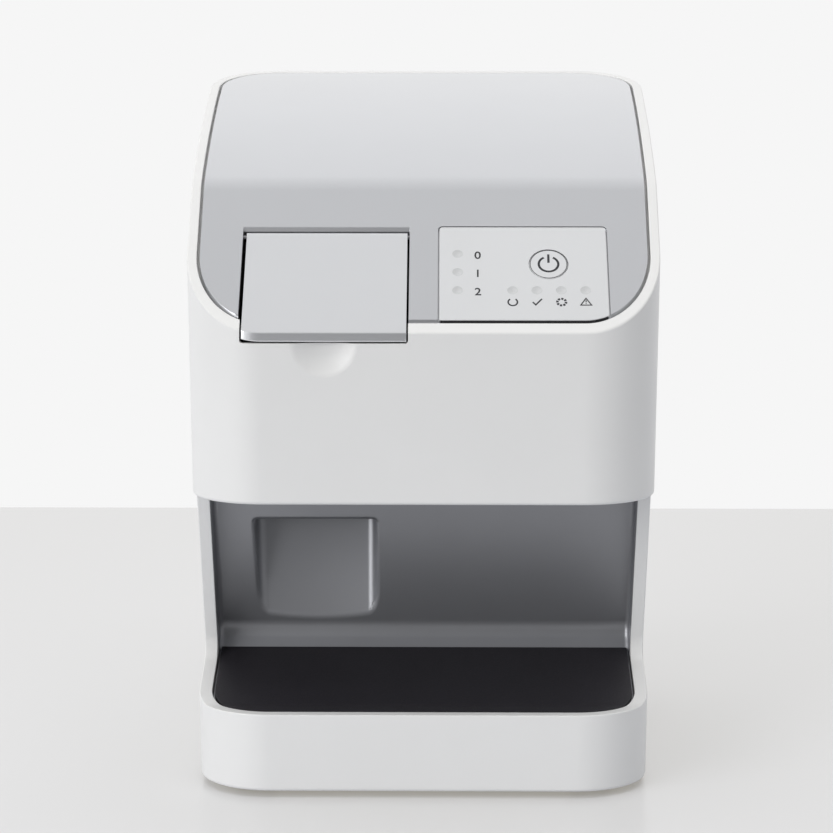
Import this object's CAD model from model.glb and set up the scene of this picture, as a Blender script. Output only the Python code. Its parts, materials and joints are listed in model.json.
"""Looks of the phosphor plate scanner: fine shells, labels, finishes, light and camera.

Each shell repeats the form of the node that it stands for, with rounder corners and edges.
Metres, +Z up, front towards -Y. Sizes that a node's box gives are read from the frame.
"""

import json
from math import asin, atan, atan2, copysign, cos, hypot, pi, radians, sin, tan

import bmesh
import bpy
from mathutils import Matrix, Vector


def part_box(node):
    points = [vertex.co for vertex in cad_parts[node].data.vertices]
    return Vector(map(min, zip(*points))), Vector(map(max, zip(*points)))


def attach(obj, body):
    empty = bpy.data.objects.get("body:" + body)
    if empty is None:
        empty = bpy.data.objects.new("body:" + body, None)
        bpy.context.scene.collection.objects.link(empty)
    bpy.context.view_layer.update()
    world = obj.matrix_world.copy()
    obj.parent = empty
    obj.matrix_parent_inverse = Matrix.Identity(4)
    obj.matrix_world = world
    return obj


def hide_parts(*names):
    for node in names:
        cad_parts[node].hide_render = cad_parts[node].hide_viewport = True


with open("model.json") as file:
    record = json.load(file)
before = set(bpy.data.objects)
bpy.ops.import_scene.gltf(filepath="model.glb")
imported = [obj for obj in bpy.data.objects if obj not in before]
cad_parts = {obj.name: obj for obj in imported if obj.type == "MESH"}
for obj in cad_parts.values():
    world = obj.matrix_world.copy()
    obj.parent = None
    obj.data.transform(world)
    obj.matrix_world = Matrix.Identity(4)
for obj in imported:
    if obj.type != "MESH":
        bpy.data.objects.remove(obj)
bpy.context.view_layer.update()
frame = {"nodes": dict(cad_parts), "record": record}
X, Y, Z = range(3)

# The housing's form
WIDTH = 0.160
DEPTH = 0.160
CORNER_RADIUS = 0.026
DRAFT = tan(radians(0.72))
FRONT_TOP_Z = 0.1597
SLOPE_ANGLE = radians(43.5)
SLOPE_RUN = 0.0496
UPPER_START_ANGLE = radians(26.0)
UPPER_END_ANGLE = radians(10.5)
BEND_RADIUS = 0.025
FRONT_Y = -DEPTH / 2
BACK_Y = DEPTH / 2

# Gaps, tolerances and steps
CLEARANCE = 0.0003
OVERRUN = 0.020
HOLE_REACH = 0.01
TOUCH = 1e-5
MARGIN = 1e-4
FACET_GAP = 4e-5
MERGE_DISTANCE = 2e-6
CORNER_STEPS = 22
UPPER_STEPS = 30
BEND_STEPS = 12
ROUND_STEPS = 48
HOLE_STEPS = 24
BOSS_STEPS = 32
SLEEVE_STEPS = 5
SMALL_CORNER_STEPS = 8
RIM_PASSES = 8

# Hood and lid
HOOD_WALL = 0.0033
HOOD_BOTTOM_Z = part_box("hood")[0].z
LEDGE_WIDTH = 0.0030
LEDGE_THICKNESS = 0.0020
SEAM_GAP = 0.0010
LID_THICKNESS = 0.0028
LID_INSET = HOOD_WALL + SEAM_GAP
LEDGE_DEPTH = LID_THICKNESS + CLEARANCE
HOOD_RIM_ROUND = 0.0005
HOOD_FOOT_ROUND = 0.0012
INNER_EDGE_ROUND = 0.0003
LID_EDGE_ROUND = 0.00012
OPENING_ROUND = 0.0002

# Lower housing, tray and niche
LOWER_STEP = 0.0005
LOWER_WALL = 0.0044
BASE_SKIRT = 0.0010
LOWER_BOTTOM_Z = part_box("base_plate")[0].z - BASE_SKIRT
LOWER_TOP_Z = HOOD_BOTTOM_Z - CLEARANCE
LOWER_INNER_INSET = LOWER_STEP + LOWER_WALL
TONGUE_HEIGHT = 0.0030
TONGUE_INSET = HOOD_WALL + CLEARANCE
TRAY_RIM_Z = 0.0291
TRAY_LEVEL_RUN = 0.016
TRAY_CLIMB_ANGLE = radians(14.4)
CHEEK_FOOT_RUN = 0.0536
CHEEK_TOP_RUN = 0.0327
CHEEK_RADIUS = 0.0065
CHEEK_RETURN = 0.0015
REBATE_INSET = LOWER_INNER_INSET - 0.0015
REBATE_RUN = 0.0180
RIM_RADIUS = 0.012
CHEEK_FOOT_Z = TRAY_RIM_Z + (CHEEK_FOOT_RUN - TRAY_LEVEL_RUN) * tan(TRAY_CLIMB_ANGLE)
CHEEK_LEAN_ANGLE = atan2(CHEEK_FOOT_RUN - CHEEK_TOP_RUN, LOWER_TOP_Z - CHEEK_FOOT_Z)
BASE_ROUND = 0.0012
RIM_ROUND = 0.0004
BOSS_RADIUS = 0.0040
BOSS_CAP = 0.0040
WEB_HALF = 0.0010
SCREW_HOLE_RADIUS = 0.0017
LINER_WALL = 0.0020
LINER_SIDE_WALL = 0.0012
LINER_SET_BACK = 0.0120
LINER_REACH = 0.005
FLANK_RADIUS = 0.0018
FLANK_DRAFT = 0.0001
FLANK_STEPS = 12
COVE_RADIUS = 0.0083
COVE_START_RUN = 0.0592
COVE_START_ANGLE = radians(60.0)
COVE_START_ROUND = 0.0006
COVE_ROOM_SHARE = 0.9
COVE_STEPS = 14
CEILING_Z = HOOD_BOTTOM_Z + 0.0010
CEILING_RADIUS = 0.0060
MAT_THICKNESS = 0.0015
MAT_SINK = 0.0003
MAT_ROUND = 0.0003
MAT_ROUND_DEPTH = 0.0012
MAT_SIDE_GAP = 0.9 * CLEARANCE
MAT_EDGE_GAP = 0.0006
MAT_BACK_RUN = 0.0585
FLOOR_SINK = MAT_SINK + MAT_THICKNESS + CLEARANCE
REBATE_FOOT_Z = CHEEK_FOOT_Z - FLOOR_SINK - LINER_WALL - CLEARANCE
CHUTE_LEFT_X = -0.0602
CHUTE_RIGHT_X = -0.0168
CHUTE_TOP_Z = HOOD_BOTTOM_Z - 0.0130
CHUTE_FOOT_Z = TRAY_RIM_Z + 0.0229
CHUTE_DEPTH = 0.0160
CHUTE_CORNER_RADIUS = 0.0036
CHUTE_CORNER_STEPS = 12
CHUTE_BULGE = 0.0009
CHUTE_BULGE_STEPS = 16
CHUTE_EDGE_ROUND = 0.0013
CHUTE_TOP_ROUND = 0.0015
CHUTE_CEILING_DROP = 0.0008
CHUTE_LEAN_IN = 0.0014
CHUTE_RIM_BELOW = 0.004

# Flap, its opening and the well under it, in the slope's own axes
FLAP_LEFT_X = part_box("flap")[0].x
FLAP_RIGHT_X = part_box("flap")[1].x
FLAP_LENGTH = 0.0453
FLAP_THICKNESS = 0.0024
OPENING_LEFT_X = FLAP_LEFT_X - 0.0012
OPENING_RIGHT_X = FLAP_RIGHT_X + 0.0007
OPENING_TOP = FLAP_LENGTH + 0.0021
# Gap at the foot and at the face of the opening's rear edge, and the depth of its foot
FLAP_TOP_RELIEF = (0.0007, 0.0020, 0.0009)
FLAP_BARREL_RADIUS = 0.0015
FLAP_AXIS_UP = FLAP_LENGTH - FLAP_BARREL_RADIUS
FLAP_EDGE_ROUND = 0.0003
FLAP_LIP_ROUND = 0.0007
LIP_REACH = 0.012
PIN_HOLE_RADIUS = 0.0007 + CLEARANCE
PIN_REACH = 0.0025
PIN_ENGAGEMENT = 0.0040
NOTCH_LOW_Z = FRONT_TOP_Z - FLAP_THICKNESS / cos(SLOPE_ANGLE) - 0.0002
NOTCH_LEFT_X = FLAP_LEFT_X - 0.0006
NOTCH_RIGHT_X = FLAP_RIGHT_X + 0.0006
NOTCH_CORNER = 0.0009
SCOOP_X = (FLAP_LEFT_X + FLAP_RIGHT_X) / 2
SCOOP_WIDTH = 0.0212
SCOOP_DEPTH = 0.0024
SCOOP_DROP = 0.0038
SCOOP_BEND = 0.90
SCOOP_SINK = 0.00002
SCOOP_STEPS = 48
SCOOP_TURN_STEPS = 120
WELL_WALL = 0.0020
WELL_FLOOR_DEPTH = 0.0100
WELL_FRONT = 0.0024
WELL_CORNER = 0.0015
WELL_CORNER_DEPTH = 0.001
SLOT_WIDTH = CHUTE_RIGHT_X - CHUTE_LEFT_X - 0.0024
SLOT_GAP = 0.0070
SLOT_ROUND = 0.0012

# Control panel
PANEL_LEFT_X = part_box("control_panel")[0].x
PANEL_RIGHT_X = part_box("control_panel")[1].x
PANEL_TOP = 0.0473
PANEL_THICKNESS = 0.0012
FOIL_THICKNESS = 0.0002
FOIL_EDGE_ROUND = 0.0001
CARRIER_INSET = 0.0004
PANEL_GAP = 0.0004
PANEL_LEDGE = 0.0030
PANEL_CORNER = 0.0011
KEY_UP = 0.0305
KEY_RADIUS = 0.0065
KEY_GAP = 0.0002
KEY_EDGE = 0.00015
KEY_FLANGE_WIDTH = 0.0009
KEY_FLANGE_THICKNESS = 0.0008
KEY_STEM_RADIUS = 0.0018
KEY_STEM_LENGTH = 0.0049
KEY_STEPS = 72
KEY_HOLE_STEPS = 64
LAMP_RADIUS = 0.00165
LAMP_HOLE_RADIUS = 0.0018
LENS_SINK = 0.00002
LENS_DISH = 0.00028
LENS_CURVE = 1.3
LENS_CHAMFER = 0.0001
LENS_STEPS = 9
LENS_TURN_STEPS = 40
BOARD_DEPTH = 0.0075

# Plate path
PATH_TOP_RUN = 0.0190
PATH_TOP_Z = FRONT_TOP_Z + 0.0103
PATH_X = (CHUTE_LEFT_X + CHUTE_RIGHT_X) / 2
CHASSIS_THICKNESS = 0.0015
SCAN_LINE_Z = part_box("chassis")[0].z + CHASSIS_THICKNESS + 0.0246

# Rear and underside
VENT_COUNT = 7
VENT_WIDTH = 0.0026
VENT_HEIGHT = 0.0240
VENT_END_ROUND = 0.98 * VENT_WIDTH / 2
VENT_PITCH_SHARE = 0.12
VENT_MIDDLE_SHARE = 0.61
VENT_Z = HOOD_BOTTOM_Z + 0.0484
CONNECTOR_LIP = 0.0020
CONNECTOR_SEAT = 0.0012
CONNECTOR_ROUND = 0.0003
PORT_ROUND = 0.0004
# Half width, half height and depth; half width, drop and overlap
PORT_MOUTH = (0.0059, 0.0034, 0.0130)
PORT_LATCH = (0.0031, 0.0052, 0.0002)
CONTACT_COUNT = 8
CONTACT_PITCH = 0.00102
CONTACT_HALF = 0.00018
CONTACT_SINK = 0.0001
CONTACT_NOSE = ((-0.0035, 0), (-0.0030, -0.0004))
CONTACT_ROOT = ((-0.0005, 0), (0.0015, -0.0019), (-0.0005, -0.0019))
INLET_ROUND = 0.0005
FOOT_SEAT_RADIUS = 0.0073
SCREW_TURN = 0.4
UNDERSHOOT = 0.001
# Half length, half width and depth
SCREW_SLOT = (0.0016, 0.00035, 0.0009)

# (radius, z) profiles, each counting its heights from a level of its own
INLET_BORE = ((0, -0.0095), (0.0034, -0.0095), (0.0034, -0.0004), (0.0039, 0.0001),
              (0.0039, 0.001), (0, 0.001))
INLET_PIN = ((0, -0.0100), (0.0009, -0.0100), (0.0009, -0.0014), (0.0006, -0.0010), (0, -0.0009))
FOOT_SOLE = ((0, 0), (0.0056, 0), (0.0062, 0.0002), (0.0069, 0.0012))
FOOT_TOP = ((0.0070, -0.0003), (0.0067, 0), (0, 0))
SCREW_HEAD = ((0, 0), (0.0018, 0), (0.0026, 0.0004), (0.0030, 0.0011))
SCREW_NECK = ((0.0030, 0), (0.0014, 0))
SCREW_TIP = ((0.0014, -0.0008), (0.0009, 0), (0, 0))


# Basic mesh work


def linked(name, data):
    """A new object of the scene that holds the data."""
    obj = bpy.data.objects.new(name, data)
    bpy.context.scene.collection.objects.link(obj)
    return obj


def mesh_object(made):
    """An object of a finished bmesh; show() names it if it becomes a piece."""
    bmesh.ops.recalc_face_normals(made, faces=made.faces)
    mesh = bpy.data.meshes.new("shape")
    made.to_mesh(mesh)
    made.free()
    return linked("shape", mesh)


def evaluated_mesh(obj):
    """A new mesh of the object as its modifiers leave it."""
    seen = bpy.context.evaluated_depsgraph_get()
    return bpy.data.meshes.new_from_object(obj.evaluated_get(seen))


def discard(obj):
    """Removes an object that is used up, with its mesh."""
    spent = obj.data
    bpy.data.objects.remove(obj)
    bpy.data.meshes.remove(spent)


def bridge(made, loops):
    """Faces between each closed loop of points and the next."""
    for low, high in zip(loops, loops[1:]):
        for i, point in enumerate(low):
            j = (i + 1) % len(low)
            made.faces.new((point, low[j], high[j], high[i]))


def loft(rings, place=None, looped=False):
    """A solid through rings that have the same number of points, its ends capped or joined."""
    made = bmesh.new()
    loops = [[made.verts.new(place @ Vector(p) if place else p) for p in ring] for ring in rings]
    bridge(made, loops + loops[:1] if looped else loops)
    if not looped:
        made.faces.new(loops[0])
        made.faces.new(loops[-1])
    return mesh_object(made)


def drawn(outline, axis, low, high, place=None):
    """A flat outline drawn out along an axis between two places."""
    rings = [[(*point[:axis], at, *point[axis:]) for point in outline] for at in (low, high)]
    return loft(rings, place)


def across(outline):
    """A (y, z) outline drawn out across the whole housing."""
    return drawn(outline, X, -SPAN, SPAN)


def block(low, high, place=None):
    (x0, y0, z0), (x1, y1, z1) = low, high
    return drawn([(x0, y0), (x1, y0), (x1, y1), (x0, y1)], Z, z0, z1, place)


def spread(last, steps, first=0):
    """Values from the first to the last in even steps."""
    return [first + (last - first) * step / steps for step in range(steps + 1)]


def around(turns, radius, x=0, y=0):
    """Points at those angles round (x, y)."""
    return [(x + radius * cos(turn), y + radius * sin(turn)) for turn in turns]


def turned(profile, place, steps=ROUND_STEPS):
    """A solid turned round its Z axis; the (radius, z) profile starts and ends on the axis."""
    made = bmesh.new()
    turns = spread(2 * pi, steps)[:-1]
    rings = [
        [made.verts.new(place @ Vector((x, y, z))) for x, y in around(turns, radius)]
        for radius, z in profile[1:-1]
    ]
    bridge(made, rings)
    for (_, z), ring in ((profile[0], rings[0]), (profile[-1], rings[-1])):
        tip = made.verts.new(place @ Vector((0, 0, z)))
        for i in range(steps):
            made.faces.new((ring[i], ring[(i + 1) % steps], tip))
    return mesh_object(made)


def stacked(*parts):
    """A profile joined from parts that count their heights from a level of their own."""
    return [(radius, level + z) for level, part in parts for radius, z in part]


def rod(radius, low, high, place, steps=ROUND_STEPS):
    """A round bar along the local Z axis."""
    return drawn(around(spread(2 * pi, steps)[:-1], radius), Z, low, high, place)


def carve(target, tool, operation="DIFFERENCE"):
    """Applies a Boolean at once and removes its tool."""
    change = target.modifiers.new("carve", "BOOLEAN")
    change.operation = operation
    change.solver = "EXACT"
    change.object = tool
    old, mesh = target.data, evaluated_mesh(target)
    target.modifiers.clear()
    target.data = mesh
    bpy.data.meshes.remove(old)
    discard(tool)
    return target


def trim(target, inset):
    """Keeps what lies within the housing's outline, drawn in by an inset."""
    return carve(target, drafted(inset, 0, HIGH), "INTERSECT")


def round_edges(obj, width, chosen=lambda point: True, steps=3, sharpest=30):
    """Rounds the convex edges whose middle point is chosen."""
    made = bmesh.new()
    made.from_mesh(obj.data)
    bmesh.ops.remove_doubles(made, verts=made.verts, dist=MERGE_DISTANCE)
    limit = radians(sharpest)
    edges = []
    for edge in made.edges:
        if edge.is_manifold and edge.is_convex and edge.calc_face_angle() > limit:
            if chosen((edge.verts[0].co + edge.verts[1].co) / 2):
                edges.append(edge)
    bmesh.ops.bevel(
        made, geom=edges, offset=width, offset_type="OFFSET", segments=steps, profile=0.5,
        affect="EDGES", clamp_overlap=False, loop_slide=True,
    )
    made.to_mesh(obj.data)
    made.free()


def show(obj, name, paint, slot, *nodes, body="housing", sharp=35):
    """Names and shades a finished piece, seats it on its body and says what it stands for."""
    obj.name = name
    obj.data.materials.clear()
    obj.data.materials.append(paint)
    obj.data.shade_smooth()
    obj.data.set_sharp_from_angle(angle=radians(sharp))
    obj.modifiers.new("even_normals", "WEIGHTED_NORMAL").keep_sharp = True
    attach(obj, body)
    if nodes:
        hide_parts(*nodes)


# Outlines


def rounded_path(corners):
    """(point, radius, steps) corners as a line whose corners are arcs tangent to both sides."""
    made = []
    for i, (point, radius, steps) in enumerate(corners):
        here = Vector(point)
        if not radius or i in (0, len(corners) - 1):
            made.append(tuple(here))
            continue
        back = (Vector(corners[i - 1][0]) - here).normalized()
        ahead = (Vector(corners[i + 1][0]) - here).normalized()
        half = back.angle(ahead) / 2
        centre = here + (back + ahead).normalized() * (radius / sin(half))
        first = here + back * (radius / tan(half)) - centre
        sweep = pi - 2 * half
        sign = 1 if back.x * ahead.y - back.y * ahead.x < 0 else -1
        for step in range(steps + 1):
            turned_by = Matrix.Rotation(sign * sweep * step / steps, 2) @ first
            made.append(tuple(centre + turned_by))
    return made


def rounded_frame(low, high, low_round, high_round):
    """A rectangle's outline with rounded lower and upper corners."""
    (x0, y0), (x1, y1) = low, high
    points = (x0, y0), (x1, y0), (x1, y1), (x0, y1)
    rounds = low_round, low_round, high_round, high_round
    corners = [(point, radius, SMALL_CORNER_STEPS) for point, radius in zip(points, rounds)]
    return rounded_path([corners[-1], *corners, corners[0]])[1:-1]


def offset_path(points, distance):
    """The line moved sideways, to its right-hand side, by a distance."""
    points = [Vector(point) for point in points]
    moved = []
    for i, point in enumerate(points):
        before = (point - points[max(i - 1, 0)]).normalized()
        after = (points[min(i + 1, len(points) - 1)] - point).normalized()
        along = (before + after).normalized()
        half = cos(before.angle(after) / 2) if before.length and after.length else 1
        moved.append(tuple(point + Vector((along.y, -along.x)) * distance / half))
    return moved


def quarter_arc(x, y, radius, quarter, steps):
    """A quarter of a circle round (x, y) that starts after a number of quarters."""
    return around([pi / 2 * (quarter + share) for share in spread(1, steps)], radius, x, y)


def half_width(z):
    return WIDTH / 2 + DRAFT * (z - FRONT_TOP_Z)


def front_y(z):
    return FRONT_Y - DRAFT * (z - FRONT_TOP_Z)


def plan_outline(inset, z):
    """The housing's round-cornered outline at one height, drawn in by an inset."""
    side, radius = half_width(z) - CORNER_RADIUS, CORNER_RADIUS - inset
    rear, front = BACK_Y - CORNER_RADIUS, front_y(z) + CORNER_RADIUS
    ring = []
    for quarter, (x, y) in enumerate(((side, rear), (-side, rear), (-side, front), (side, front))):
        ring += quarter_arc(x, y, radius, quarter, CORNER_STEPS)
    return ring


def drafted(inset, low, high):
    """The housing's outline drawn up between two heights, with the walls' draft."""
    return loft([[(x, y, z) for x, y in plan_outline(inset, z)] for z in (low, high)])


def top_profile():
    """(y, z) along the top, front to back, running past both ends."""
    bend = Vector((FRONT_Y + SLOPE_RUN, FRONT_TOP_Z + SLOPE_RUN * tan(SLOPE_ANGLE)))
    start = Vector((FRONT_Y - OVERRUN, FRONT_TOP_Z - tan(SLOPE_ANGLE) * OVERRUN))
    radius = (DEPTH - SLOPE_RUN) / (sin(UPPER_START_ANGLE) - sin(UPPER_END_ANGLE))
    upper = []
    for angle in spread(UPPER_END_ANGLE, UPPER_STEPS, UPPER_START_ANGLE)[1:]:
        run = radius * (sin(UPPER_START_ANGLE) - sin(angle))
        climb = radius * (cos(angle) - cos(UPPER_START_ANGLE))
        upper.append(bend + Vector((run, climb)))
    end = upper[-1] + OVERRUN * Vector((cos(UPPER_END_ANGLE), sin(UPPER_END_ANGLE)))
    upper = [point for point in upper if (point - bend).length > BEND_RADIUS / 4]
    bent = [(start, 0, 0), (bend, BEND_RADIUS, BEND_STEPS)]
    return rounded_path(bent + [(point, 0, 0) for point in [*upper, end]])


TOP = top_profile()
TOP_Z = max(z for y, z in TOP if y <= BACK_Y + CLEARANCE)
HIGH = TOP_Z + 2 * OVERRUN
SPAN = WIDTH / 2 + OVERRUN


def top_at(y):
    """Height of the top's face at a depth."""
    for (y0, z0), (y1, z1) in zip(TOP, TOP[1:]):
        if y0 <= y <= y1:
            return z0 + (z1 - z0) * (y - y0) / (y1 - y0)
    return TOP_Z


def on_top(point):
    return abs(point.z - top_at(point.y)) < FACET_GAP


def above(depth):
    """A tool that takes away all that is above that depth under the top."""
    line = offset_path(TOP, depth)
    return across(line + [(line[-1][0], HIGH), (line[0][0], HIGH)])


def band(shallow, deep):
    """The layer of the top between two depths under its face."""
    return across(offset_path(TOP, shallow) + offset_path(TOP, deep)[::-1])


def rim_line():
    """(y, z) of the tray's rim and the cheeks' front edge: level, climbing, then up and forward."""
    top_z = HOOD_BOTTOM_Z + OVERRUN
    top_run = CHEEK_FOOT_RUN - (top_z - CHEEK_FOOT_Z) * tan(CHEEK_LEAN_ANGLE)
    return [
        ((FRONT_Y - OVERRUN, TRAY_RIM_Z), 0, 0),
        ((FRONT_Y + TRAY_LEVEL_RUN, TRAY_RIM_Z), RIM_RADIUS, 2),
        ((FRONT_Y + CHEEK_FOOT_RUN, CHEEK_FOOT_Z), CHEEK_RADIUS, 14),
        ((FRONT_Y + top_run, top_z), 0, 0),
    ]


RIM = rounded_path(rim_line())


def on_rim(point):
    """True on the cut that opens the niche in the housing's front and sides."""
    here = Vector((point.y, point.z))
    for start, end in zip(RIM, RIM[1:]):
        a, b = Vector(start), Vector(end)
        share = max(0, min(1, (here - a).dot(b - a) / (b - a).length_squared))
        if (a + (b - a) * share - here).length < FACET_GAP:
            return True
    return False


def rim_height(run):
    """Height of the climbing part of the rim's line at a distance back from the front."""
    return TRAY_RIM_Z + (run - TRAY_LEVEL_RUN) * tan(TRAY_CLIMB_ANGLE)


def run_behind_cheek(distance, z):
    """How far back from the front a place lies that far behind the cheek's edge at a height."""
    return CHEEK_FOOT_RUN + (CHEEK_FOOT_Z - z) * tan(CHEEK_LEAN_ANGLE) + distance


def liner_run(z):
    return run_behind_cheek(LINER_SET_BACK, z)


def leaning(x, run, z, angle):
    """Axes at a place, tilted back about X."""
    return Matrix.Translation((x, FRONT_Y + run, z)) @ Matrix.Rotation(angle, 4, "X")


CHUTE_RUN = liner_run(CHUTE_TOP_Z) + CHUTE_DEPTH / 2
PATH_LEAN_ANGLE = atan2(CHUTE_RUN - PATH_TOP_RUN, PATH_TOP_Z - CHUTE_TOP_Z)
SCAN_RUN = PATH_TOP_RUN + (PATH_TOP_Z - SCAN_LINE_Z) * tan(PATH_LEAN_ANGLE)
SLOPE = leaning(0, 0, FRONT_TOP_Z, SLOPE_ANGLE)
TO_SLOPE = SLOPE.inverted()
PATH = leaning(PATH_X, SCAN_RUN, SCAN_LINE_Z, PATH_LEAN_ANGLE)


def on_slope(x, up, out=0):
    """Axes at a place on the slope's face."""
    return SLOPE @ Matrix.Translation((x, up, out))


def nodes_with(part):
    return sorted(name for name in frame["nodes"] if part in name)


def middle_of(node):
    low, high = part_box(node)
    return (low + high) / 2


def upright(node):
    """Axes on the ground below a node's middle."""
    at = middle_of(node)
    return Matrix.Translation((at.x, at.y, 0))


# Finishes

DRIFT_SIZE = 0.035
COAT_ROUGHNESS = 0.12


def feed(tree, node, inputs):
    """Sets a node's inputs, each to a value or to another node's output."""
    for key, value in inputs.items():
        if isinstance(value, bpy.types.NodeSocket):
            tree.links.new(value, node.inputs[key])
        else:
            node.inputs[key].default_value = value


def add(tree, kind, inputs=None, result=0, **settings):
    """A new shader node's output."""
    made = tree.nodes.new("ShaderNode" + kind)
    for key, value in settings.items():
        setattr(made, key, value)
    feed(tree, made, inputs or {})
    return made.outputs[result]


def combined(tree, operation, *values):
    """The result of a Math node."""
    return add(tree, "Math", dict(enumerate(values)), operation=operation)


def noise(tree, size, detail=3.0, stretch=None):
    """A noise texture in the object's own space whose cells are about that size."""
    place = add(tree, "TexCoord", result="Object")
    if stretch:
        place = add(tree, "Mapping", {"Vector": place, "Scale": stretch})
    return add(tree, "TexNoise", {"Vector": place, "Scale": 1 / size, "Detail": detail}, "Fac")


def ranged(tree, source, low, high, start=0.3, end=0.7):
    """The source's middle values spread between two limits."""
    limits = {"From Min": start, "From Max": end, "To Min": low, "To Max": high}
    return add(tree, "MapRange", {"Value": source, **limits}, "Result")


def tinted(tree, factor, first, second):
    """A mix of two colours by a factor."""
    inputs = {"A": (*first, 1), "B": (*second, 1), "Factor": factor}
    return add(tree, "Mix", inputs, "Result", data_type="RGBA")


def shade(colour, gain):
    return tuple(min(1.0, part * gain) for part in colour)


def new_material(name):
    made = bpy.data.materials.new(name)
    made.use_nodes = True
    return made, made.node_tree, made.node_tree.nodes["Principled BSDF"]


def finish(name, colour, roughness, grain, depth, vary=0.03, metallic=0.0, stretch=None,
           coat=0.0, uneven=0.04):
    """A moulded, painted or metal surface: fine grain, soft drift of tone, uneven gloss."""
    made, tree, shader = new_material(name)
    drift = ranged(tree, noise(tree, DRIFT_SIZE, 2.0), 0, 1)
    fine = noise(tree, grain, 2.0, stretch)
    feed(tree, shader, {
        "Metallic": metallic, "Coat Weight": coat, "Coat Roughness": COAT_ROUGHNESS,
        "Base Color": tinted(tree, drift, shade(colour, 1 - vary), shade(colour, 1 + vary)),
        "Roughness": ranged(tree, fine, roughness - uneven, roughness + uneven),
        "Normal": add(tree, "Bump", {"Strength": 0.5, "Distance": depth, "Height": fine}),
    })
    return made


def board_finish(name):
    """Green solder mask with the paler tracks that run under it."""
    made, tree, shader = new_material(name)
    tracks = {
        "Vector": add(tree, "TexCoord", result="Object"), "Scale": 90, "Mortar Size": 0.03,
        "Color1": (0.012, 0.11, 0.045, 1), "Color2": (0.016, 0.13, 0.055, 1),
        "Mortar": (0.04, 0.22, 0.09, 1),
    }
    feed(tree, shader, {
        "Base Color": add(tree, "TexBrick", tracks, "Color"),
        "Roughness": ranged(tree, noise(tree, 0.0008), 0.28, 0.42),
    })
    return made


WHITE = finish("white_housing", (0.805, 0.80, 0.785), 0.40, 0.00035, 0.00001, 0.008)
LID_GREY = finish("lid_grey", (0.705, 0.715, 0.74), 0.28, 0.00060, 0.0000006, 0.008,
                  metallic=0.75, coat=1.0, uneven=0.006)
FLAP_SILVER = finish("flap_silver", (0.92, 0.93, 0.95), 0.28, 0.00060, 0.0000004, 0.006,
                     metallic=0.8, uneven=0.005)
FOIL = finish("panel_foil", (0.69, 0.695, 0.70), 0.42, 0.00040, 0.000004, 0.010,
              metallic=0.15, uneven=0.02)
LINER_GREY = finish("liner_grey", (0.33, 0.335, 0.355), 0.39, 0.00045, 0.000002, 0.02,
                    metallic=0.68, uneven=0.015)
MAT_BLACK = finish("mat_black", (0.0125, 0.0108, 0.0148), 0.55, 0.00060, 0.00004, 0.08)
DARK = finish("dark_plastic", (0.028, 0.028, 0.031), 0.45, 0.00040, 0.00002, 0.06)
RUBBER = finish("rubber", (0.022, 0.022, 0.023), 0.72, 0.00050, 0.00004, 0.10)
STEEL = finish("steel", (0.56, 0.56, 0.57), 0.30, 0.00030, 0.000008, 0.04,
               metallic=1.0, stretch=(1, 14, 1))
LENS = finish("lamp_window", (0.58, 0.585, 0.585), 0.30, 0.00050, 0.000006, 0.03)
INK = finish("print_grey", (0.030, 0.030, 0.034), 0.50, 0.00030, 0.000004, 0.05)
GLASS = finish("mirror_glass", (0.75, 0.78, 0.80), 0.06, 0.00100, 0.000001, 0.01, metallic=1.0)
GOLD = finish("contact_gold", (0.75, 0.52, 0.20), 0.25, 0.00030, 0.000004, 0.03, metallic=1.0)
BOARD = board_finish("circuit_board")
PAINT_OF_SLOT = {
    "housing_white": WHITE, "lid_grey": LID_GREY, "flap_grey": FLAP_SILVER,
    "liner_grey": LINER_GREY, "mat_black": MAT_BLACK, "dark_plastic": DARK, "rubber": RUBBER,
    "steel": STEEL, "circuit_board": BOARD, "lamp_window": LENS, "mirror": GLASS,
}


# Housing shells


def scoop_tool():
    """A shallow round bowl whose rim runs out softly into the hood's front."""
    half, bend = SCOOP_WIDTH / 2, SCOOP_BEND
    rim = bend + (1 - bend**2) / bend
    profile = [(0, SCOOP_DEPTH)]
    for share in spread(rim, SCOOP_STEPS)[1:]:
        depth = 1 - share**2
        if share > bend:
            depth = (1 - bend**2) * ((rim - share) / (rim - bend)) ** 2
        profile.append((half * share, SCOOP_DEPTH * depth - SCOOP_SINK))
    profile += [(half * rim, -OVERRUN), (0, -OVERRUN)]
    z = FRONT_TOP_Z - SCOOP_DROP
    facing = Matrix.Rotation(atan(DRAFT) - pi / 2, 4, "X")
    return turned(profile, Matrix.Translation((SCOOP_X, front_y(z), z)) @ facing, SCOOP_TURN_STEPS)


def vent_tool(x):
    half, reach = VENT_WIDTH / 2, VENT_HEIGHT / 2
    low, high = (x - half, VENT_Z - reach), (x + half, VENT_Z + reach)
    outline = rounded_frame(low, high, VENT_END_ROUND, VENT_END_ROUND)
    return drawn(outline, Y, BACK_Y - 2 * HOOD_WALL, BACK_Y + OVERRUN)


def ring_spots():
    """Places round the housing's outline: (x side, y, corner angle or None), in order."""
    ys = [y for y, _ in TOP if front_y(HOOD_BOTTOM_Z) + CORNER_RADIUS < y < BACK_Y - CORNER_RADIUS]
    turns = spread(pi / 2, CORNER_STEPS)
    ring = [(1, 1, turn) for turn in turns]
    ring += [(-1, 1, pi / 2 + turn) for turn in turns]
    ring += [(-1, y, None) for y in reversed(ys)]
    ring += [(-1, -1, pi + turn) for turn in turns]
    ring += [(1, -1, 3 * pi / 2 + turn) for turn in turns]
    return ring + [(1, y, None) for y in ys]


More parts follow.
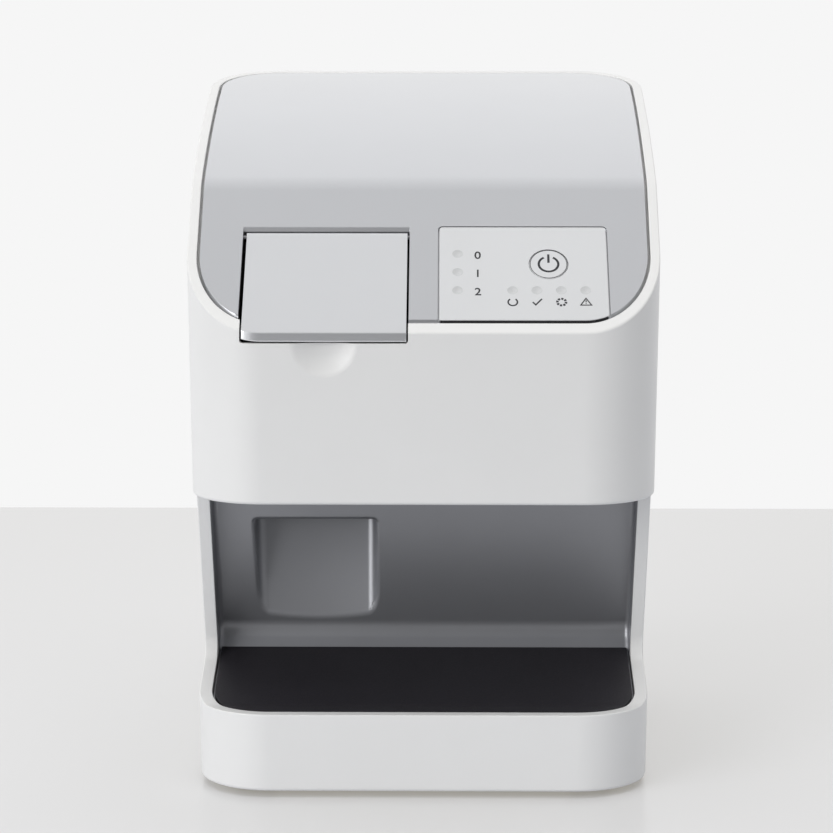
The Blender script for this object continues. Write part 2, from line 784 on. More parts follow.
def wall_point(spot, inset, z):
    """The point of the drafted wall at a place of the outline and a height."""
    side, y, turn = spot
    if turn is None:
        return Vector((side * (half_width(z) - inset), y, z))
    centre_y = BACK_Y - CORNER_RADIUS if y > 0 else front_y(z) + CORNER_RADIUS
    radius = CORNER_RADIUS - inset
    x = side * (half_width(z) - CORNER_RADIUS) + radius * cos(turn)
    return Vector((x, centre_y + radius * sin(turn), z))


def rim_at(spot, inset):
    """Where the wall at a place of the outline meets the top's face."""
    z = FRONT_TOP_Z
    for _ in range(RIM_PASSES):
        z = top_at(wall_point(spot, inset, z).y)
    return wall_point(spot, inset, z)


def near_rim(spot, wall, inset, drop):
    """A point of the rounded rim, that far in along the top's face and down the wall."""
    rim = rim_at(spot, wall)
    return rim_at(spot, inset) + (wall_point(spot, wall, rim.z - drop) - rim)


def hood_sleeve():
    """The hood's sleeve from foot to rim, with rounded edges, as one closed skin."""
    foot, outer, inner, wall = HOOD_FOOT_ROUND, HOOD_RIM_ROUND, INNER_EDGE_ROUND, HOOD_WALL
    turns = spread(pi / 2, SLEEVE_STEPS)
    curve = [(1 - sin(turn), 1 - cos(turn)) for turn in turns]
    rows = []
    for spot in ring_spots():
        row = [wall_point(spot, foot * a, HOOD_BOTTOM_Z + foot * b) for a, b in curve]
        row += [near_rim(spot, 0, outer * b, outer * a) for a, b in curve]
        row += [near_rim(spot, wall, wall - inner * a, inner * b) for a, b in curve]
        rows.append([*row, wall_point(spot, wall, HOOD_BOTTOM_Z)])
    return loft(rows, looped=True)


def make_hood():
    hood = hood_sleeve()
    ledge = trim(band(LEDGE_DEPTH, LEDGE_DEPTH + LEDGE_THICKNESS), HOOD_WALL / 2)
    carve(ledge, drafted(HOOD_WALL + LEDGE_WIDTH, 0, HIGH))
    low = (OPENING_LEFT_X - WELL_WALL - CLEARANCE, -OVERRUN, -OVERRUN)
    high = (OPENING_RIGHT_X + WELL_WALL + CLEARANCE, OVERRUN, 0)
    carve(ledge, block(low, high, SLOPE))
    carve(hood, ledge, "UNION")
    notch = rounded_frame((NOTCH_LEFT_X, NOTCH_LOW_Z), (NOTCH_RIGHT_X, HIGH), NOTCH_CORNER, 0)
    carve(hood, drawn(notch, Y, FRONT_Y - OVERRUN, FRONT_Y + CORNER_RADIUS / 2))
    carve(hood, scoop_tool())
    flat = WIDTH / 2 - CORNER_RADIUS
    for i in range(VENT_COUNT):
        step = i - (VENT_COUNT - 1) / 2
        carve(hood, vent_tool(flat * (step * VENT_PITCH_SHARE - VENT_MIDDLE_SHARE)))
    low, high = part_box("connector_panel")
    lip = CONNECTOR_LIP
    low = (low.x + lip - CLEARANCE, BACK_Y - 2 * HOOD_WALL, low.z + lip - CLEARANCE)
    high = (high.x - lip + CLEARANCE, BACK_Y + OVERRUN, high.z - lip + CLEARANCE)
    carve(hood, block(low, high))

    def on_notch(point):
        if not NOTCH_LEFT_X + MARGIN < point.x < NOTCH_RIGHT_X + TOUCH:
            return False
        below_top = NOTCH_LOW_Z - TOUCH < point.z < top_at(point.y) - MARGIN
        return below_top and point.y < front_y(point.z) + 10 * MARGIN

    round_edges(hood, OPENING_ROUND, on_notch, 2)
    show(hood, "hood_shell", WHITE, "housing_white", "hood")


def rebate(gap):
    """The stretch behind the cheeks' edges that the liner's sides seat in, less a gap all round."""
    low_z, high_z = REBATE_FOOT_Z + gap, HOOD_BOTTOM_Z + OVERRUN
    front, rear = CHEEK_RETURN + gap, REBATE_RUN - gap
    corners = ((front, low_z), (front, high_z), (rear, high_z), (rear, low_z))
    outline = [(FRONT_Y + run_behind_cheek(back, z), z) for back, z in corners]
    return trim(across(outline), REBATE_INSET + gap)


def outer_face(point):
    """True nearer to the housing's outside than to the middle of its wall."""
    inset = LOWER_STEP + LOWER_WALL / 2
    side, ahead = half_width(point.z) - inset, front_y(point.z) + inset
    if abs(point.x) > side or point.y < ahead or point.y > BACK_Y - inset:
        return True
    radius = CORNER_RADIUS - inset
    near_x = abs(point.x) - (side - radius)
    near_y = max(ahead + radius - point.y, point.y - (BACK_Y - inset - radius))
    return near_x > 0 and near_y > 0 and hypot(near_x, near_y) > radius


def make_lower_shell():
    shell = drafted(LOWER_STEP, LOWER_BOTTOM_Z, LOWER_TOP_Z)
    tongue_top_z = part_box("lower_housing")[1].z
    carve(shell, drafted(TONGUE_INSET, LOWER_TOP_Z - TONGUE_HEIGHT, tongue_top_z), "UNION")
    carve(shell, drafted(LOWER_INNER_INSET, 0, HIGH))
    carve(shell, across(RIM + [(RIM[0][0], RIM[-1][1])]))
    carve(shell, rebate(0))
    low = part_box("base_plate")[1].z + CLEARANCE
    for name in nodes_with("base_screw"):
        at, top = middle_of(name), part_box(name)[1].z
        wall = copysign(half_width(low) - LOWER_STEP - LOWER_WALL / 2, at.x)
        left, right = sorted((at.x, wall))
        web = block((left, at.y - WEB_HALF, low), (right, at.y + WEB_HALF, top))
        carve(shell, web, "UNION")
        place = upright(name)
        boss = rod(BOSS_RADIUS, low, top + BOSS_CAP, place, BOSS_STEPS)
        carve(shell, boss, "UNION")
        carve(shell, rod(SCREW_HOLE_RADIUS, 0, top + CLEARANCE, place, HOLE_STEPS))

    def on_foot(point):
        return abs(point.z - LOWER_BOTTOM_Z) < TOUCH and outer_face(point)

    round_edges(shell, BASE_ROUND, on_foot, 5)
    round_edges(shell, RIM_ROUND, lambda p: on_rim(p) and outer_face(p), 4)
    round_edges(shell, INNER_EDGE_ROUND, lambda p: on_rim(p) and not outer_face(p), 2)
    show(shell, "lower_shell", WHITE, "housing_white", "lower_housing")


def panel_form(gap, low, high):
    """The control panel's outline, open towards the seam, with small upper corners."""
    left, right, top = PANEL_LEFT_X - gap, PANEL_RIGHT_X + gap, PANEL_TOP + gap
    outline = rounded_frame((left, -OVERRUN), (right, top), 0, PANEL_CORNER + gap)
    return drawn(outline, Z, low, high, SLOPE)


def pin_hole(target, start, end):
    """A hole for a hinge pin along the flap's axis, between two places across."""
    middle = on_slope(0, FLAP_AXIS_UP, -FLAP_BARREL_RADIUS)
    low, high = sorted((start, end))
    place = middle @ Matrix.Rotation(pi / 2, 4, "Y")
    carve(target, rod(PIN_HOLE_RADIUS, low, high, place, HOLE_STEPS))


def make_lid():
    lid = trim(band(0, LID_THICKNESS), LID_INSET)
    round_edges(lid, LID_EDGE_ROUND, on_top, 3)
    narrow, wide, deep = FLAP_TOP_RELIEF
    outline = [
        (-OVERRUN, -OVERRUN), (FLAP_LENGTH + narrow, -OVERRUN), (FLAP_LENGTH + narrow, -deep),
        (FLAP_LENGTH + wide, 0), (FLAP_LENGTH + wide, OVERRUN), (-OVERRUN, OVERRUN),
    ]
    carve(lid, drawn(outline, X, OPENING_LEFT_X, OPENING_RIGHT_X, SLOPE))
    carve(lid, panel_form(PANEL_GAP, -(PANEL_THICKNESS + CLEARANCE), OVERRUN))
    window = LID_INSET / cos(SLOPE_ANGLE) + PANEL_LEDGE
    low = (PANEL_LEFT_X + PANEL_LEDGE, window, -OVERRUN)
    high = (PANEL_RIGHT_X - PANEL_LEDGE, PANEL_TOP - PANEL_LEDGE, OVERRUN)
    carve(lid, block(low, high, SLOPE))

    def on_openings(point):
        in_reach = (TO_SLOPE @ point).y < OPENING_TOP + MARGIN
        return in_reach and on_top(point) and abs(point.x) < PANEL_RIGHT_X + 10 * MARGIN

    round_edges(lid, OPENING_ROUND, on_openings, 2)
    pin_hole(lid, FLAP_LEFT_X, OPENING_LEFT_X - PIN_REACH - CLEARANCE)
    pin_hole(lid, FLAP_RIGHT_X, OPENING_RIGHT_X + PIN_REACH + CLEARANCE)
    show(lid, "lid_shell", LID_GREY, "lid_grey", "top_lid")


def make_flap():
    axis_y, radius = FLAP_AXIS_UP, FLAP_BARREL_RADIUS
    outline = [(-OVERRUN, -FLAP_THICKNESS), (-OVERRUN, 0)]
    last = asin((FLAP_THICKNESS - radius) / radius) - pi
    outline += around(spread(last, HOLE_STEPS, pi / 2), radius, axis_y, -radius)
    flap = trim(drawn(outline, X, FLAP_LEFT_X, FLAP_RIGHT_X, SLOPE), 0)

    def on_lip_foot(point):
        local = TO_SLOPE @ point
        on_foot = abs(local.z + FLAP_THICKNESS) < 2 * TOUCH and local.y < LIP_REACH
        in_front = point.y < FRONT_Y + LIP_REACH
        return on_foot and in_front and FLAP_LEFT_X + MARGIN < point.x < FLAP_RIGHT_X - MARGIN

    def on_rest(point):
        local = TO_SLOPE @ point
        return local.y < axis_y + 2 * TOUCH and local.z > FLAP_LIP_ROUND - FLAP_THICKNESS

    for edge, sign in ((FLAP_LEFT_X, 1), (FLAP_RIGHT_X, -1)):
        pin_hole(flap, edge - sign * OVERRUN, edge + sign * (PIN_ENGAGEMENT + CLEARANCE))
    round_edges(flap, FLAP_LIP_ROUND, on_lip_foot, 4)
    round_edges(flap, FLAP_EDGE_ROUND, on_rest, 3, 40)
    show(flap, "flap_plate", FLAP_SILVER, "flap_grey", "flap", body="flap")


def plate_slot(low, high):
    """The slot that a plate passes, between two places along its path."""
    half, gap = SLOT_WIDTH / 2, SLOT_GAP / 2
    return block((-half, -gap, low), (half, gap, high), PATH)


def make_well():
    low = (OPENING_LEFT_X - WELL_WALL, WELL_FRONT, -WELL_FLOOR_DEPTH - WELL_WALL)
    high = (OPENING_RIGHT_X + WELL_WALL, OPENING_TOP + WELL_WALL, -LEDGE_DEPTH)
    well = trim(block(low, high, SLOPE), HOOD_WALL + CLEARANCE)
    low = (OPENING_LEFT_X, WELL_FRONT + WELL_WALL, -WELL_FLOOR_DEPTH)
    hollow = block(low, (OPENING_RIGHT_X, OPENING_TOP, OVERRUN), SLOPE)
    trim(hollow, HOOD_WALL + CLEARANCE + WELL_WALL)
    round_edges(hollow, WELL_CORNER, lambda p: (TO_SLOPE @ p).z < -WELL_CORNER_DEPTH, 4)
    carve(well, hollow)
    rise = (PATH_TOP_Z - SCAN_LINE_Z) / cos(PATH_LEAN_ANGLE)
    slot = plate_slot(rise - OVERRUN, rise + OVERRUN)
    round_edges(slot, SLOT_ROUND)
    carve(well, slot)
    show(well, "well_pocket", DARK, "dark_plastic", "feed_well")


def liner_section(set_back, sink, wall):
    """(y, z) of the liner's face at one place across: tray floor, cove, back and ceiling."""
    climb, slant, rise = (
        tan(angle) for angle in (TRAY_CLIMB_ANGLE, CHEEK_LEAN_ANGLE, COVE_START_ANGLE)
    )
    level_z = TRAY_RIM_Z - sink
    run = CHEEK_FOOT_RUN + set_back + (CHEEK_FOOT_Z - level_z + TRAY_LEVEL_RUN * climb) * slant
    foot_run = run / (1 + climb * slant)
    foot_z = rim_height(foot_run) - sink
    top_run = foot_run - (CEILING_Z - foot_z) * slant
    start_run = COVE_START_RUN + set_back - LINER_SET_BACK
    start_z = rim_height(start_run) - sink
    bend_run = foot_run + start_run * rise * slant - (start_z - foot_z) * slant
    bend_run /= 1 + rise * slant
    bend_z = start_z + (bend_run - start_run) * rise
    half_turn = (pi / 2 + CHEEK_LEAN_ANGLE - COVE_START_ANGLE) / 2
    room = (bend_run - start_run) / (cos(COVE_START_ANGLE) * tan(half_turn))
    corners = [
        ((FRONT_Y - OVERRUN, level_z), 0, 0),
        ((FRONT_Y + TRAY_LEVEL_RUN, level_z), RIM_RADIUS, 6),
        ((FRONT_Y + start_run, start_z), COVE_START_ROUND, 4),
        ((FRONT_Y + bend_run, bend_z), min(COVE_RADIUS, COVE_ROOM_SHARE * room), COVE_STEPS),
        ((FRONT_Y + top_run, CEILING_Z), CEILING_RADIUS, 8),
        ((FRONT_Y - OVERRUN, CEILING_Z), 0, 0),
    ]
    return offset_path(rounded_path(corners), wall)


def liner_solid(wall):
    """The niche's space, or that space and the liner's wall round it, drawn out across."""
    edge = half_width(HOOD_BOTTOM_Z) - LOWER_INNER_INSET
    side_wall = wall * LINER_SIDE_WALL / LINER_WALL
    stations = []
    for turn in spread(pi / 2, FLANK_STEPS):
        x = edge - FLANK_RADIUS + (FLANK_RADIUS + side_wall) * sin(turn)
        stations.append((x, LINER_SET_BACK - (FLANK_RADIUS + wall) * (1 - cos(turn))))
    front = CHEEK_RETURN + CLEARANCE - 2 * wall
    stations += [(edge + side_wall + FLANK_DRAFT, front), (SPAN, front)]
    rings = []
    for x, back in [(-x, back) for x, back in reversed(stations)] + stations:
        section = liner_section(back, FLOOR_SINK, wall)
        rings.append([(x * (half_width(z) - LOWER_INNER_INSET) / edge, y, z) for y, z in section])
    return loft(rings)


def chute_solid(wall, z_top):
    """The recess that a plate slides down: deep at its top, run out at its foot."""
    left, right = CHUTE_LEFT_X - wall, CHUTE_RIGHT_X + wall
    radius = CHUTE_CORNER_RADIUS + wall
    foot_run = liner_run(CHUTE_FOOT_Z)
    height = CHUTE_TOP_Z - CHUTE_FOOT_Z
    slope = (liner_run(CHUTE_TOP_Z) + CHUTE_DEPTH - foot_run) / height
    inner = right - left - 2 * radius
    outline = [(left, -CHUTE_DEPTH - OVERRUN), (right, -CHUTE_DEPTH - OVERRUN)]
    outline += quarter_arc(right - radius, -radius, radius, 0, CHUTE_CORNER_STEPS)
    outline += [(right - radius - run, 0) for run in spread(inner, CHUTE_BULGE_STEPS)[1:-1]]
    outline += quarter_arc(left + radius, -radius, radius, 1, CHUTE_CORNER_STEPS)
    rings = []
    for z in (CHUTE_FOOT_Z - wall - 3 * CHUTE_BULGE, z_top):
        back = FRONT_Y + foot_run + slope * (z - CHUTE_FOOT_Z) + wall
        lean = CHUTE_LEAN_IN * (CHUTE_TOP_Z - z) / height
        ring = []
        for x, y in outline:
            share = 2 * (x - left) / (right - left) - 1
            bulge = CHUTE_BULGE * (1 - share**2)
            ring.append((x + lean * (1 - share) / 2, back + y + bulge, z))
        rings.append(ring)
    return loft(rings)


def liner_limit():
    """The room inside the lower housing and, in front, up to the hood."""
    inset = LOWER_INNER_INSET + CLEARANCE
    ahead = inset - TONGUE_INSET
    levels = (
        (0, 0), (LOWER_TOP_Z - TONGUE_HEIGHT, 0), (HOOD_BOTTOM_Z, ahead),
        (HOOD_BOTTOM_Z + LINER_REACH, ahead),
    )
    rings = [[(x, y - shift, z) for x, y in plan_outline(inset, z)] for z, shift in levels]
    return carve(loft(rings), rebate(CLEARANCE), "UNION")


def make_liner():
    liner = liner_solid(LINER_WALL)
    carve(liner, chute_solid(LINER_WALL, CHUTE_TOP_Z + LINER_WALL), "UNION")
    ceiling = CHUTE_TOP_Z - CHUTE_CEILING_DROP
    chute = chute_solid(0, ceiling)
    round_edges(chute, CHUTE_TOP_ROUND, lambda p: p.z > ceiling - TOUCH and p.y > FRONT_Y, 5)
    carve(liner, carve(liner_solid(0), chute, "UNION"))
    carve(liner, liner_limit(), "INTERSECT")
    drop = (SCAN_LINE_Z - CHUTE_TOP_Z) / cos(PATH_LEAN_ANGLE)
    lowest = -drop - SLOT_GAP * tan(PATH_LEAN_ANGLE) - 2 * CHUTE_CEILING_DROP
    carve(liner, plate_slot(lowest, -drop + OVERRUN / 2))

    def on_chute(point):
        inside = CHUTE_LEFT_X - MARGIN < point.x < CHUTE_RIGHT_X + MARGIN
        inside = inside and CHUTE_FOOT_Z - CHUTE_RIM_BELOW < point.z < CHUTE_TOP_Z + MARGIN
        return inside and point.y < FRONT_Y + liner_run(point.z) + MARGIN

    round_edges(liner, CHUTE_EDGE_ROUND, on_chute, 4, 14)
    show(liner, "liner_shell", LINER_GREY, "liner_grey", "niche_liner", sharp=32)


def make_mat():
    back = ((FRONT_Y + MAT_BACK_RUN, rim_height(MAT_BACK_RUN)), 0, 0)
    line = rounded_path(rim_line()[:2] + [back])
    top, bottom = offset_path(line, MAT_SINK), offset_path(line, MAT_SINK + MAT_THICKNESS)
    mat = trim(across(top + bottom[::-1]), LOWER_INNER_INSET + CLEARANCE + MAT_EDGE_GAP)
    carve(mat, liner_solid(-MAT_SIDE_GAP), "INTERSECT")

    def on_upper(point):
        run = max(TRAY_LEVEL_RUN, point.y - FRONT_Y)
        return point.z > rim_height(run) - MAT_ROUND_DEPTH

    round_edges(mat, MAT_ROUND, on_upper, 2, 50)
    show(mat, "tray_pad", MAT_BLACK, "mat_black", "tray_mat")


# Control panel

LAMP_PLACES = {name: TO_SLOPE @ middle_of(name) for name in nodes_with("_lamp_")}
KEY_PLACE = on_slope((TO_SLOPE @ middle_of("power_button")).x, KEY_UP)


def make_panel():
    panel = panel_form(0, -FOIL_THICKNESS, OVERRUN)
    carve(panel, above(0))
    trim(panel, LID_INSET)
    carrier = panel_form(-CARRIER_INSET, -PANEL_THICKNESS, -FOIL_THICKNESS)
    trim(carrier, LID_INSET + CARRIER_INSET)
    round_edges(panel, FOIL_EDGE_ROUND, on_top, 2)
    for piece in (panel, carrier):
        for at in LAMP_PLACES.values():
            place = on_slope(at.x, at.y)
            carve(piece, rod(LAMP_HOLE_RADIUS, -HOLE_REACH, HOLE_REACH, place, BOSS_STEPS))
        carve(piece, rod(KEY_RADIUS + KEY_GAP, -HOLE_REACH, HOLE_REACH, KEY_PLACE, KEY_HOLE_STEPS))
    show(panel, "foil_panel", FOIL, "flap_grey", "control_panel")
    show(carrier, "panel_carrier", DARK, "dark_plastic")


def make_lenses():
    """The lamps' windows: light pipes from the board up to a shallow dished face."""
    radius, foot = LAMP_HOLE_RADIUS - LENS_SINK, CLEARANCE - BOARD_DEPTH
    profile = [
        (0, foot), (LAMP_RADIUS, foot), (LAMP_RADIUS, -PANEL_THICKNESS),
        (radius, -PANEL_THICKNESS + LENS_CHAMFER), (radius, -LENS_SINK),
    ]
    for share in spread(1, LENS_STEPS)[1:-1]:
        dip = LENS_DISH * sin(share * pi / 2) ** LENS_CURVE
        profile.append((radius * (1 - share), -LENS_SINK - dip))
    profile.append((0, -LENS_SINK - LENS_DISH))
    for name, at in LAMP_PLACES.items():
        lens = turned(profile, on_slope(at.x, at.y), LENS_TURN_STEPS)
        show(lens, name.replace("lamp", "lens"), LENS, "lamp_window", name)


def make_key():
    low = -PANEL_THICKNESS - CLEARANCE
    foot, flange = low - KEY_FLANGE_THICKNESS, KEY_RADIUS + KEY_FLANGE_WIDTH
    profile = [
        (0, -KEY_STEM_LENGTH), (KEY_STEM_RADIUS, -KEY_STEM_LENGTH), (KEY_STEM_RADIUS, foot),
        (flange, foot), (flange, low), (KEY_RADIUS, low), (KEY_RADIUS, -KEY_EDGE),
        (KEY_RADIUS - KEY_EDGE, 0), (KEY_RADIUS / 2, 0), (0, 0),
    ]
    key = turned(profile, KEY_PLACE, KEY_STEPS)
    show(key, "key_cap", FOIL, "flap_grey", "power_button", body="power_button")


# Printed signs


def arc(radius, first, last, steps):
    """Points of an arc, counted in degrees from the local X axis."""
    return around([radians(turn) for turn in spread(last, steps, first)], radius)


PRINT_FOOT = 0.000005
PRINT_THICKNESS = 0.00003
MITRE_LIMIT = 0.35
# Points, line width and whether the line is closed, for each stroke of a sign
KEY_SIGNS = {
    "power_sign": [
        (arc(0.0033, 118, 422, 48), 0.00078, False), ([(0, 0.0006), (0, 0.0044)], 0.00078, False),
    ],
    "key_border": [(arc(KEY_RADIUS - 0.0003, 0, 357, 119), 0.00024, True)],
}
STATUS_SIGNS = {
    "ready_sign": [(arc(0.00155, 125, 415, 32), 0.00054, False)],
    "done_sign": [([(-0.0015, 0), (-0.0005, -0.0012), (0.0016, 0.0014)], 0.00054, False)],
    "working_sign": [(arc(0.00145, at, at + 30, 5), 0.00085, False) for at in range(20, 360, 45)],
    "caution_sign": [
        ([(-0.0018, -0.0013), (0.0018, -0.0013), (0, 0.0017)], 0.0004, True),
        ([(0, -0.0001), (0, 0.0008)], 0.00036, False),
        ([(0, -0.0008), (0, -0.0005)], 0.00036, False),
    ],
}
SIGN_DROP = 0.0052
FIGURE_SIZE = 0.0046
FIGURE_WEIGHT = 0.00006
FIGURE_SHIFT = (0.0068, -0.0008)


def stroke(points, width, closed, place):
    """A printed line: a thin flat ribbon along points on the panel's face."""
    line = [Vector(point) for point in points]
    rings = []
    for i, here in enumerate(line):
        into = (here - line[i - 1]).normalized() if closed or i else None
        last = i == len(line) - 1 and not closed
        on = into if last else (line[(i + 1) % len(line)] - here).normalized()
        into = into or on
        along = (into + on).normalized()
        reach = width / 2 / max(MITRE_LIMIT, cos(into.angle(on) / 2))
        across_line = Vector((-along.y, along.x)) * reach
        left, right = here + across_line, here - across_line
        rings.append([(*left, PRINT_FOOT), (*right, PRINT_FOOT),
                      (*right, PRINT_THICKNESS), (*left, PRINT_THICKNESS)])
    return loft(rings, place, closed)


def make_sign(name, strokes, place, body):
    """One piece of several printed strokes."""
    made = bmesh.new()
    for points, width, closed in strokes:
        piece = stroke(points, width, closed, place)
        made.from_mesh(piece.data)
        discard(piece)
    show(mesh_object(made), name, INK, "dark_plastic", body=body)


def make_figure(name, at):
    """The plain figure beside a size lamp."""
    label = bpy.data.curves.new("figure", "FONT")
    label.body = name[-1]
    label.size = FIGURE_SIZE
    label.offset = FIGURE_WEIGHT
    label.align_x = "CENTER"
    label.align_y = "CENTER"
    label.extrude = PRINT_THICKNESS / 2
    holder = linked("label", label)
    mesh = evaluated_mesh(holder)
    bpy.data.objects.remove(holder)
    right, up = FIGURE_SHIFT
    mesh.transform(on_slope(at.x + right, at.y + up, PRINT_FOOT + PRINT_THICKNESS / 2))
    show(linked("figure", mesh), f"figure_{name[-1]}", INK, "dark_plastic")


def make_marks():
    """The power sign, the signs under the status lamps and the figures beside the size lamps."""
    for name, strokes in KEY_SIGNS.items():
        make_sign(name, strokes, KEY_PLACE, "power_button")
    for (name, strokes), lamp in zip(STATUS_SIGNS.items(), nodes_with("status_lamp_")):
        at = LAMP_PLACES[lamp]
        make_sign(name, strokes, on_slope(at.x, at.y - SIGN_DROP), "housing")
    for lamp in nodes_with("size_lamp_"):
        make_figure(lamp, LAMP_PLACES[lamp])


# Rear, base and inside


def make_rear_plate():
    low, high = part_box("connector_panel")
    lip, face = CONNECTOR_LIP, high.y
    foot = (low.x + lip, low.y + CONNECTOR_SEAT, low.z + lip)
    panel = block(foot, (high.x - lip, face, high.z - lip))
    round_edges(panel, CONNECTOR_ROUND, lambda p: abs(p.y - face) < TOUCH, 2)
    carve(panel, block(low, (high.x, low.y + lip, high.z)), "UNION")
    gap, reach = CLEARANCE, HOLE_REACH
    for node in ("network_port", "power_inlet"):
        low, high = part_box(node)
        far = (high.x + gap, high.y + reach, high.z + gap)
        carve(panel, block((low.x - gap, low.y - reach, low.z - gap), far))
    show(panel, "rear_plate", DARK, "dark_plastic", "connector_panel")


def make_port():
    low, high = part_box("network_port")
    port = block(low, high)
    round_edges(port, PORT_ROUND, steps=2)
    middle, (half, tall, deep) = middle_of("network_port"), PORT_MOUTH
    near, far = high.y - deep, high.y + HOLE_REACH
    mouth_high = (middle.x + half, far, middle.z + tall)
    carve(port, block((middle.x - half, near, middle.z - tall), mouth_high))
    half, drop, overlap = PORT_LATCH
    latch_high = (middle.x + half, far, middle.z - tall + overlap)
    carve(port, block((middle.x - half, near, middle.z - drop), latch_high))
    show(port, "port_shell", DARK, "dark_plastic", "network_port")
    top = middle.z + tall - CONTACT_SINK
    outline = [(near + y, top + z) for y, z in CONTACT_ROOT]
    outline[1:1] = [(high.y + y, top + z) for y, z in CONTACT_NOSE]
    for i in range(CONTACT_COUNT):
        x = middle.x + (i - (CONTACT_COUNT - 1) / 2) * CONTACT_PITCH
        contact = drawn(outline, X, x - CONTACT_HALF, x + CONTACT_HALF)
        show(contact, f"port_contact_{i}", GOLD, "steel")


def make_inlet():
    low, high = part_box("power_inlet")
    inlet = block(low, high)
    round_edges(inlet, INLET_ROUND, steps=2)
    middle = middle_of("power_inlet")
    face = Matrix.Translation((middle.x, high.y, middle.z))
    face = face @ Matrix.Rotation(-pi / 2, 4, "X")
    carve(inlet, turned(INLET_BORE, face))
    show(inlet, "inlet_shell", DARK, "dark_plastic", "power_inlet")
    show(turned(INLET_PIN, face, HOLE_STEPS), "inlet_pin", STEEL, "steel")


def make_base():
    low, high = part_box("base_plate")
    base = drafted(LOWER_INNER_INSET + CLEARANCE, low.z, high.z)
    for name in nodes_with("foot_"):
        place = upright(name)
        bottom, top = (corner.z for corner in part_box(name))
        carve(base, rod(FOOT_SEAT_RADIUS, -UNDERSHOOT, top + CLEARANCE, place))
        foot = turned(stacked((bottom, FOOT_SOLE), (top, FOOT_TOP)), place)
        show(foot, name.replace("foot", "rubber_foot"), RUBBER, "rubber", name)
    for name in nodes_with("base_screw"):
        place = upright(name)
        bottom, top = (corner.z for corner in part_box(name))
        hole_top = high.z + UNDERSHOOT
        carve(base, rod(SCREW_HOLE_RADIUS, -UNDERSHOOT, hole_top, place, HOLE_STEPS))
        profile = stacked((bottom, SCREW_HEAD), (low.z - CLEARANCE, SCREW_NECK), (top, SCREW_TIP))
        screw = turned(profile, place, BOSS_STEPS)
        length, width, depth = SCREW_SLOT
        for turn in (SCREW_TURN, pi / 2 + SCREW_TURN):
            cross = place @ Matrix.Rotation(turn, 4, "Z")
            slot_low = (-length, -width, bottom - UNDERSHOOT)
            carve(screw, block(slot_low, (length, width, bottom + depth), cross))
        show(screw, name.replace("base_screw", "screw"), STEEL, "steel", name)
    show(base, "base_cover", STEEL, "steel", "base_plate")


def dress_inner_nodes():
    """The nodes that stay as they are get their slot's finish."""
    slot_of = {part["node"]: part["material_slot"] for part in frame["record"]["subparts"]}
    for name, obj in frame["nodes"].items():
        paint = PAINT_OF_SLOT[slot_of[name]]
        if not obj.material_slots:
            obj.data.materials.append(paint)
        for holder in obj.material_slots:
            holder.material = paint


# Stage, light and camera

FLOOR_HALF = 6.0
FLOOR_EDGE_Y = 0.478
FLOOR_FRONT_Y = -0.50
FLOOR_TONE = (0.66, 0.677, 0.725)
FLOOR_ROUGHNESS = 0.22
FLOOR_GLOSS = 0.35
FLOOR_GLOW = (0.92, 0.87, 0.76)
FLOOR_GLOW_SHARE = 0.28
BACKDROP = (0.922, 0.922, 0.922)
STUDIO_TONE = (0.07, 0.07, 0.07)
ROOM_TONE = (0.97, 0.98, 1.0)
ROOM_LEVEL = 0.47
ROOM_SLANT = {"X": -0.04, "Y": 0.24, "Z": 0.16}
FRONT_DIM = 0.17
REAR_FULL = 0.75
# Place, aim, size, power in watts, and whether glossy surfaces show it
LAMPS = {
    "key_left": ((-2.35, -2.35, 1.05), (0, 0, 0.12), (2.2, 2.0), 60.0, True),
    "fill_right": ((2.45, -2.2, 0.7), (0, 0, 0.10), (1.8, 1.8), 9.0, False),
    "top": ((0, -0.3, 3.0), (0, 0, 0.15), (3.0, 2.5), 36.0, False),
}
CAMERA_PLACE = (0.0077, -0.969, 0.2615)
CAMERA_PITCH = radians(8.3)
CAMERA_YAW = radians(0.63)
IMAGE_WIDTH = 833
FOCAL_PIXELS = 2700
SENSOR_WIDTH = 36.0


def ray(tree, kind):
    """1 for one kind of ray, such as Camera or Glossy."""
    return add(tree, "LightPath", result=f"Is {kind} Ray")


def seen_rays(tree):
    """1 for the rays that show a thing to the camera, straight, in a gloss or through glass."""
    straight_or_gloss = combined(tree, "MAXIMUM", ray(tree, "Camera"), ray(tree, "Glossy"))
    return combined(tree, "MAXIMUM", straight_or_gloss, ray(tree, "Transmission"))


def stage_material():
    """A pale, faintly lit table before a white backdrop.

    In front of the table the camera sees the backdrop too, while light and gloss find a dark floor.
    """
    made, tree, shader = new_material("stage")
    place = add(tree, "NewGeometry", result="Position")
    y = add(tree, "SeparateXYZ", {"Vector": place}, "Y")
    on_table = combined(tree, "GREATER_THAN", y, FLOOR_FRONT_Y)
    feed(tree, shader, {
        "Base Color": tinted(tree, on_table, STUDIO_TONE, FLOOR_TONE),
        "Roughness": FLOOR_ROUGHNESS, "Specular IOR Level": FLOOR_GLOSS,
    })
    glow = add(tree, "Emission", {"Color": (*FLOOR_GLOW, 1)})
    on_table_share = ranged(tree, on_table, 0, FLOOR_GLOW_SHARE, 0, 1)
    share = combined(tree, "MULTIPLY", seen_rays(tree), on_table_share)
    table = add(tree, "MixShader", {"Fac": share, 1: shader.outputs["BSDF"], 2: glow})
    behind = combined(tree, "GREATER_THAN", y, FLOOR_EDGE_Y)
    before = combined(tree, "GREATER_THAN", ray(tree, "Camera"), on_table)
    backdrop = add(tree, "Emission", {"Color": (*BACKDROP, 1)})
    white = combined(tree, "MAXIMUM", behind, before)
    mix = add(tree, "MixShader", {"Fac": white, 1: table, 2: backdrop})
    feed(tree, tree.nodes["Material Output"], {"Surface": mix})
    return made


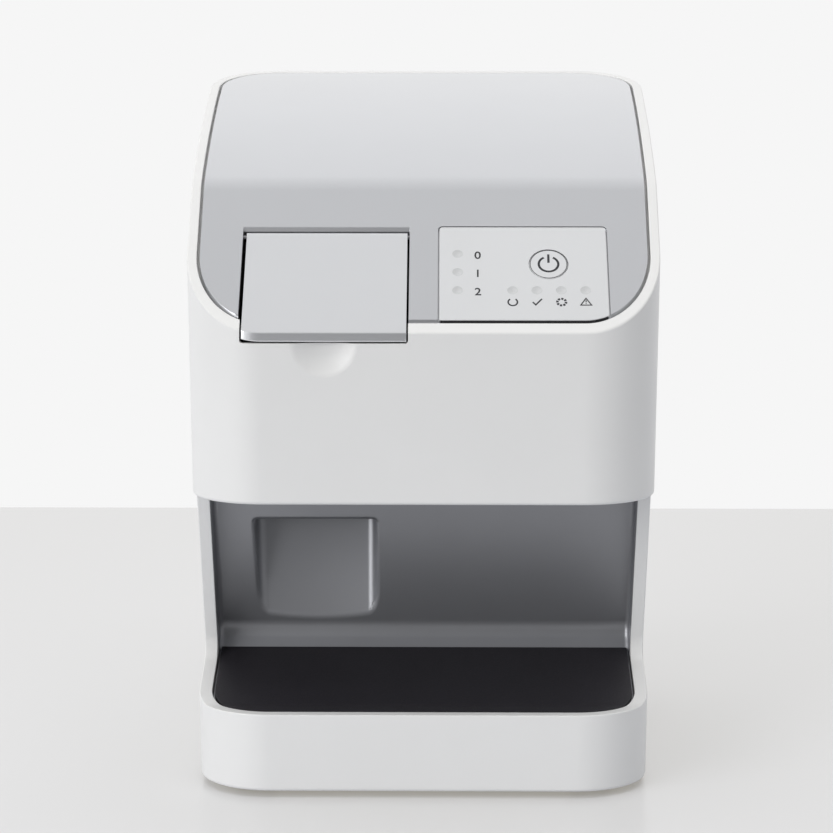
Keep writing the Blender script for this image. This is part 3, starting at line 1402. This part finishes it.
def make_stage():
    made = bmesh.new()
    bmesh.ops.create_grid(made, x_segments=1, y_segments=1, size=FLOOR_HALF)
    floor = mesh_object(made)
    floor.name = "table"
    floor.data.materials.append(stage_material())


def make_world():
    """A studio that is bright behind and above and dims towards the front, before a backdrop."""
    world = bpy.data.worlds.new("studio")
    bpy.context.scene.world = world
    world.use_nodes = True
    tree = world.node_tree
    place = add(tree, "TexCoord", result="Generated")
    toward = add(tree, "SeparateXYZ", {"Vector": place}).node.outputs
    level = ROOM_LEVEL
    for axis, share in ROOM_SLANT.items():
        level = combined(tree, "MULTIPLY_ADD", toward[axis], share, level)
    lit = tree.nodes["Background"]
    feed(tree, lit, {"Color": (*ROOM_TONE, 1), "Strength": level})
    dim = ranged(tree, toward["Y"], FRONT_DIM, 1, -1, REAR_FULL)
    strength = combined(tree, "MAXIMUM", dim, ray(tree, "Camera"))
    seen = add(tree, "Background", {"Color": (*BACKDROP, 1), "Strength": strength})
    mix = add(tree, "MixShader", {"Fac": seen_rays(tree), 1: lit.outputs["Background"], 2: seen})
    feed(tree, tree.nodes["World Output"], {"Surface": mix})


def make_lights():
    for name, (place, aim, size, power, mirrored) in LAMPS.items():
        lamp = bpy.data.lights.new(name, "AREA")
        lamp.shape = "RECTANGLE"
        lamp.size, lamp.size_y = size
        lamp.energy = power
        holder = linked(name, lamp)
        holder.location = place
        toward = Vector(aim) - Vector(place)
        holder.rotation_euler = toward.to_track_quat("-Z", "Y").to_euler()
        holder.visible_glossy = mirrored


def make_camera():
    lens = bpy.data.cameras.new("camera")
    lens.sensor_width = SENSOR_WIDTH
    lens.lens = SENSOR_WIDTH * FOCAL_PIXELS / IMAGE_WIDTH
    holder = linked("camera", lens)
    holder.location = CAMERA_PLACE
    holder.rotation_euler = (pi / 2 - CAMERA_PITCH, 0, CAMERA_YAW)
    bpy.context.scene.camera = holder


make_camera()
make_world()
make_lights()
make_stage()
dress_inner_nodes()
make_hood()
make_lower_shell()
make_lid()
make_flap()
make_well()
make_liner()
make_mat()
make_panel()
make_lenses()
make_key()
make_marks()
make_rear_plate()
make_port()
make_inlet()
make_base()
bpy.context.scene.view_settings.view_transform = "Standard"
